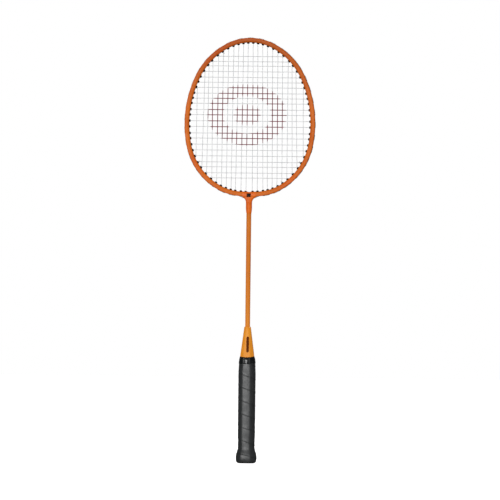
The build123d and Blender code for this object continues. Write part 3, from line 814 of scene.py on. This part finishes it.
# ------------------------------------------------------------------ grip: one strip wound in overlapping turns
def make_grip():
    base, _ = octagon_ring(13.3, 11.8, 6.3, CORNER, ARC, FLAT)
    n = len(base)
    length = [0.0]
    for i in range(n):
        a, b = base[i], base[(i + 1) % n]
        length.append(length[-1] + sqrt((a[0] - b[0])**2 + (a[1] - b[1])**2))
    s = [v / length[-1] for v in length[:-1]]
    # the middle of the front face (-Y) sits at this fraction of the way round
    front = min(range(n), key=lambda i: abs(base[i][0]) + (0 if base[i][1] < 0 else 1e3))
    s_front = s[front]
    # the strip's section: (across the strip, offset of its outer side, offset of its inner side), mm
    def outer(v):
        # the strip's lower edge lies on the turn below; both long edges are pared thin
        if v < 5.5:
            return lerp(0.24, 0.0, smoothstep(0.3, 5.5, v))
        if v < 18.8:
            return 0.0 + 0.05 * sin((v - 5.5) / 13.3 * pi)
        if v < 20.6:
            return lerp(0.0, -0.30, smoothstep(18.8, 20.6, v))
        return lerp(-0.30, -1.15, smoothstep(20.6, 25.0, v))
    def inner(v):
        if v < 4.4:
            return outer(v + PITCH) + 0.03
        return lerp(outer(25.0) + 0.03, -1.42, smoothstep(4.4, 7.0, v))
    vs = [0.0, 0.10, 0.30, 0.7, 1.4, 2.6, 4.2, 6.0, 8.0, 11.0, 14.5, 17.2, 18.6, 19.2, 19.7, 20.1, 20.5, 21.2, 22.6, 24.0, 25.0]
    section = []
    for k, v in enumerate(vs):
        o = outer(v)
        if k == 0:
            o -= 0.32
        elif k == 1:
            o -= 0.16
        elif k == 2:
            o -= 0.05
        # dark: weight of the painted seam shade at this point of the section
        dark = 1.0 if k == 0 else (0.4 if k == 1 else smoothstep(19.0, 20.4, v))
        section.append((v, o, dark))
    for v in reversed(vs[1:-1]):
        section.append((v, min(inner(v), outer(v) - 0.12), 0.0))
    section.append((0.0, inner(0.0) + 0.02, 1.0))
    m = len(section)
    verts, faces, rings = [], [], []
    first, last = -3, 9
    total = (last - first) * n
    for q in range(total + 1):
        turn, i = divmod(q, n)
        turn += first
        # the wind climbs clockwise seen from above, so seams fall from left to right in front
        k = (n - i) % n
        frac = s[k] if i else 1.0
        if i == 0:
            frac = 1.0
        # wound by hand, the strip is steepest across the front face
        z_low = SEAM_Z + PITCH * (turn - 6 + (s_front - frac) + 1.0 + 0.055 * sin(2 * pi * (s_front - frac)))
        wob = 0.28 * noise.noise(Vector((q * 0.021, 3.1, 0.4)))
        ring = []
        for v, o, dark in section:
            z = z_low + v + wob * (1 if v < 12 else 0.3)
            hx, hy, c = curve_at(GRIP_OUT, z)
            pts, nrm = octagon_ring(hx, hy, c, corner_at(z), ARC, FLAT, CROWN)
            x, y = pts[k]
            nx, ny = nrm[k]
            soft = 0.05 * noise.noise(Vector((x * 0.25, y * 0.25, z * 0.18)))
            soft += 0.035 * noise.noise(Vector((x * 0.8, y * 0.8, z * 0.5)))
            d = o + soft
            ring.append(((x + nx * d) * MM, (y + ny * d) * MM, z * MM))
        rings.append(ring)
    for r in rings:
        verts += r
    for q in range(total):
        for j in range(m):
            jj = (j + 1) % m
            faces.append((q * m + j, (q + 1) * m + j, (q + 1) * m + jj, q * m + jj))
    faces.append(tuple(reversed(range(m))))
    faces.append(tuple(total * m + j for j in range(m)))
    ob = new_mesh("grip_wrap", verts, faces, mat_grip)
    bm = bmesh.new()
    bm.from_mesh(ob.data)
    # the seam layer carries the weight of the painted shade along the seams
    layer = bm.verts.layers.float.new("seam")
    where = {}
    for q, r in enumerate(rings):
        for (v, o, dark), co in zip(section, r):
            if dark > 0:
                where[tuple(round(c, 7) for c in co)] = dark
    for vert in bm.verts:
        vert[layer] = where.get(tuple(round(c, 7) for c in vert.co), 0.0)
    for height, up in ((1.0, -1), (163.4, 1)):
        geom = bm.verts[:] + bm.edges[:] + bm.faces[:]
        got = bmesh.ops.bisect_plane(bm, geom=geom, dist=1e-7, plane_co=(0, 0, height * MM), plane_no=(0, 0, up),
                                     clear_outer=True)
        edges = [e for e in got["geom_cut"] if isinstance(e, bmesh.types.BMEdge)]
        bmesh.ops.holes_fill(bm, edges=edges, sides=0)
    bmesh.ops.recalc_face_normals(bm, faces=bm.faces)
    for f in bm.faces:
        f.smooth = True
    bm.to_mesh(ob.data)
    bm.free()
    sharpen(ob, 50)
    return ob


grip = make_grip()
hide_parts("grip_tape")
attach(grip, "root")


# ------------------------------------------------------------------ finishing tape
def make_tape():
    rings = []
    rows = [(155.9, 0.22), (156.0, 0.36), (156.3, 0.44), (157.5, 0.46), (159.5, 0.44), (161.5, 0.42), (163.5, 0.38),
            (165.0, 0.32), (166.0, 0.26), (166.8, 0.10), (167.25, -0.18), (167.35, -0.45), (167.2, -0.65),
            (166.6, -0.75), (164.0, -0.35), (160.0, -0.02), (156.2, 0.10)]
    for z, o in rows:
        ring = []
        hx, hy, c = curve_at(GRIP_OUT, z)
        pts, nrm = octagon_ring(hx, hy, c, corner_at(z), 6, 8, lerp(0.5, 0.1, smoothstep(163, 167, z)))
        for i, ((x, y), (nx, ny)) in enumerate(zip(pts, nrm)):
            a = atan2(y, x)
            lift = 0.10 * noise.noise(Vector((cos(a) * 2.4, sin(a) * 2.4, z * 0.22)))
            lift += 0.05 * noise.noise(Vector((cos(a) * 7, sin(a) * 7, z * 0.6)))
            if o < 0.19:
                lift = 0
            # the lower edge runs a little askew; the upper edge dips across the two broad faces
            tilt = 0.45 * sin(a + 0.8) if z < 157 else 0.12 * sin(a + 2.2)
            tilt -= 1.7 * sin(a) ** 2 * smoothstep(161.0, 166.0, z)
            ring.append(((x + nx * (o + lift)) * MM, (y + ny * (o + lift)) * MM, (z + tilt) * MM))
        rings.append(ring)
    rings.append(rings[0])
    verts, faces = loft_rings(rings, False, False)
    ob = new_mesh("finishing_band", verts, faces, mat_vinyl)
    sharpen(ob, 60)
    return ob


tape = make_tape()
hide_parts("finishing_tape")
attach(tape, "root")


# ------------------------------------------------------------------ cone
def make_cone():
    lo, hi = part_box("cone")
    z0, z1 = lo.z / MM, hi.z / MM
    shoulder = 166.9
    rings = []
    def ring(z, hx, hy, c, r, shrink=0.0):
        pts, nrm = octagon_ring(hx, hy, c, r, 5, 6)
        return [((x - nx * shrink) * MM, (y - ny * shrink) * MM, z * MM) for (x, y), (nx, ny) in zip(pts, nrm)]
    def at(f):
        h = lerp(10.8, 5.1, f)
        d = lerp(9.7, 5.1, f)
        c = lerp(4.9, 2.99, f)
        r = lerp(1.6, 5.05, f ** 0.8)
        r = min(r, 0.98 * min(h, d))
        return h, d, c, r
    def circle(z, rad):
        pts, nrm = octagon_ring(rad, rad, rad * (2 - sqrt(2)), rad * 0.999, 5, 6)
        return [(x * MM, y * MM, z * MM) for x, y in pts]
    rings.append(circle(z0, 3.84))
    rings.append(ring(z0, *at(0), 0.3))
    rings.append(ring(z0 + 0.3, *at(0)))
    for k in range(0, 25):
        f = k / 24
        rings.append(ring(lerp(shoulder, z1 - 0.7, f), *at(f * 0.985)))
    h, d, c, r = at(0.99)
    for t in (30, 60, 90):
        a = radians(t)
        rings.append(ring(z1 - 0.7 + 0.7 * sin(a), h, d, c, r, 0.7 * (1 - cos(a))))
    rings.append(circle(z1, 3.95))
    rings.append(circle(z1 - 0.3, 3.84))
    rings.append(rings[0])
    verts, faces = loft_rings(rings, False, False)
    ob = new_mesh("handle_cone", verts, faces, mat_cone)
    sharpen(ob, 40)
    return ob


cone = make_cone()
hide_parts("cone")
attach(cone, "root")


# ------------------------------------------------------------------ butt cap
def make_cap():
    rings = []
    def ring(z, shrink=0.0, hx=15.35, hy=13.85, c=7.3, r=3.0):
        pts, nrm = octagon_ring(hx, hy, c, r, 5, 7, 0.1)
        return [((x - nx * shrink) * MM, (y - ny * shrink) * MM, z * MM) for (x, y), (nx, ny) in zip(pts, nrm)]
    # recess for the label
    disc = []
    pts, nrm = octagon_ring(9.55, 9.55, 9.55 * (2 - sqrt(2)), 9.54, 5, 7)
    disc = [(x * MM, y * MM) for x, y in pts]
    rings.append([(x, y, 0.32 * MM) for x, y in disc])
    rings.append([(x, y, 0.0) for x, y in disc])
    for t in (0, 15, 30, 45, 60, 75, 90):
        a = radians(t)
        rings.append(ring(1.6 * (1 - cos(a)), 2.0 + 1.9 * (1 - sin(a))))
    rings.append(ring(2.4, 2.3))
    rings.append(ring(3.2, 2.4))
    rings.append(ring(10.5, 1.6))
    rings.append(ring(16.0, 2.2))
    rings.append(ring(21.0, 3.6))
    rings.append(ring(24.0, 4.2))
    verts, faces = loft_rings(rings, True, True)
    ob = new_mesh("butt_end", verts, faces, mat_cap)
    sharpen(ob, 40)
    return ob


cap = make_cap()
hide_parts("butt_cap")
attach(cap, "root")

# ------------------------------------------------------------------ stage
def make_floor():
    verts, faces = [], []
    R = [0.0, 0.05, 0.12, 0.25, 0.5, 1.0, 2.0, 4.0, 8.0]
    n = 64
    verts.append((0, 0, -0.0002))
    for r in R[1:]:
        for i in range(n):
            a = 2 * pi * i / n
            verts.append((r * cos(a), r * sin(a), -0.0002))
    for i in range(n):
        faces.append((0, 1 + i, 1 + (i + 1) % n))
    for k in range(len(R) - 2):
        for i in range(n):
            a, b = 1 + k * n + i, 1 + k * n + (i + 1) % n
            faces.append((a, a + n, b + n, b))
    m = Mat("floor_white")
    m.colour(m.ramp(m.noise(3, 3, 0.5), [(0.3, srgb(238, 238, 238)), (0.7, srgb(244, 244, 244))]))
    m.rough(0.8)
    m.bump(m.noise(220, 3, 0.5), 0.02, 0.0002)
    m.bsdf.inputs["Specular IOR Level"].default_value = 0.1
    m.bsdf.inputs["Emission Color"].default_value = (1, 1, 1, 1)
    m.bsdf.inputs["Emission Strength"].default_value = 0.95
    # from underneath the floor is clear, so the racket's end face can be looked at
    side = m.node("ShaderNodeNewGeometry")
    clear = m.node("ShaderNodeBsdfTransparent")
    pick_side = m.node("ShaderNodeMixShader")
    m.link(side.outputs["Backfacing"], pick_side.inputs[0])
    m.link(m.bsdf.outputs[0], pick_side.inputs[1])
    m.link(clear.outputs[0], pick_side.inputs[2])
    m.link(pick_side.outputs[0], m.t.nodes["Material Output"].inputs["Surface"])
    ob = new_mesh("floor", verts, faces, m.m, recalc=False)
    # the floor is there to be seen and to take the shadow; it throws no light back up
    ob.visible_diffuse = False
    ob.visible_glossy = False
    return ob


make_floor()

# white surround to look at; as a light it is dim, strongest in front and behind and weakest at the sides
world = bpy.data.worlds.new("studio")
scene.world = world
world.use_nodes = True
wt = world.node_tree
wt.nodes.clear()


def wnode(kind, **kw):
    n = wt.nodes.new(kind)
    for k, v in kw.items():
        setattr(n, k, v)
    return n


out = wnode("ShaderNodeOutputWorld")
seen = wnode("ShaderNodeBackground")
seen.inputs["Strength"].default_value = 1.0
seen.inputs["Color"].default_value = (1, 1, 1, 1)
fill = wnode("ShaderNodeBackground")
fill.inputs["Color"].default_value = (1, 1, 1, 1)
wc = wnode("ShaderNodeTexCoord")
ws = wnode("ShaderNodeSeparateXYZ")
wt.links.new(wc.outputs["Generated"], ws.inputs[0])
# ahead and behind count alike for gloss, but behind is half as bright
ah = wnode("ShaderNodeMath", operation="MULTIPLY")
ah.inputs[1].default_value = -1.0
wt.links.new(ws.outputs[1], ah.inputs[0])
bh = wnode("ShaderNodeMath", operation="MULTIPLY")
bh.inputs[1].default_value = 0.72
wt.links.new(ws.outputs[1], bh.inputs[0])
ay = wnode("ShaderNodeMath", operation="MAXIMUM")
wt.links.new(ah.outputs[0], ay.inputs[0])
wt.links.new(bh.outputs[0], ay.inputs[1])
fr = wnode("ShaderNodeMapRange")
fr.inputs["From Min"].default_value = 0.35
fr.inputs["From Max"].default_value = 1.0
fr.inputs["To Min"].default_value = 0.05
fr.inputs["To Max"].default_value = 0.30
wt.links.new(ay.outputs[0], fr.inputs["Value"])
path = wnode("ShaderNodeLightPath")
pick = wnode("ShaderNodeMix", data_type="FLOAT")
pick.inputs[2].default_value = 0.28                      # for diffuse light, from all round
wt.links.new(path.outputs["Is Glossy Ray"], pick.inputs[0])
wt.links.new(fr.outputs["Result"], pick.inputs[3])
wt.links.new(pick.outputs[0], fill.inputs["Strength"])
mixw = wnode("ShaderNodeMixShader")
wt.links.new(path.outputs["Is Camera Ray"], mixw.inputs[0])
wt.links.new(fill.outputs[0], mixw.inputs[1])
wt.links.new(seen.outputs[0], mixw.inputs[2])
wt.links.new(mixw.outputs[0], out.inputs[0])


def area(name, place, aim, size, power, colour=(1, 1, 1), glossy=True):
    d = bpy.data.lights.new(name, "AREA")
    d.shape = "RECTANGLE"
    d.size, d.size_y = size
    d.energy = power
    d.color = colour
    ob = bpy.data.objects.new(name, d)
    ob.location = place
    ob.rotation_mode = "QUATERNION"
    ob.rotation_quaternion = (Vector(aim) - Vector(place)).to_track_quat("-Z", "Y")
    ob.visible_camera = False
    ob.visible_glossy = glossy
    scene.collection.objects.link(ob)
    return ob


MID = (0, 0, 0.36)
area("front_box", (-0.50, -3.0, 0.62), MID, (0.55, 1.4), 52)
area("back_box", (0.50, 3.0, 0.62), MID, (0.55, 1.4), 44, glossy=False)
area("right_fill", (2.6, -0.9, 0.7), MID, (0.9, 1.2), 11, glossy=False)
area("left_fill", (-2.6, 0.9, 0.7), MID, (0.9, 1.2), 11, glossy=False)
area("top_box", (0.0, 0.1, 2.4), MID, (1.0, 1.0), 8, glossy=False)

# ------------------------------------------------------------------ camera
AZ = radians(6.0)
DIST = 12.0
cam_data = bpy.data.cameras.new("camera")
cam = bpy.data.objects.new("camera", cam_data)
scene.collection.objects.link(cam)
scene.camera = cam
cam_data.sensor_width = 36
cam_data.lens = 36 * DIST / 0.7815
cam_data.clip_start, cam_data.clip_end = 0.05, 50
CENTRE = Vector((0.0024 * cos(AZ), 0.0024 * sin(AZ), 0.3334))
cam.location = CENTRE + Vector((sin(AZ), -cos(AZ), 0)) * DIST
cam.rotation_mode = "QUATERNION"
look = Vector((-sin(AZ), cos(AZ), 0)).to_track_quat("-Z", "Y")
cam.rotation_quaternion = look @ Quaternion((0, 0, 1), radians(0.65))

scene.view_settings.view_transform = "Standard"
scene.view_settings.look = "None"
scene.view_settings.exposure = 0.0
scene.view_settings.gamma = 1.0

bpy.context.view_layer.update()
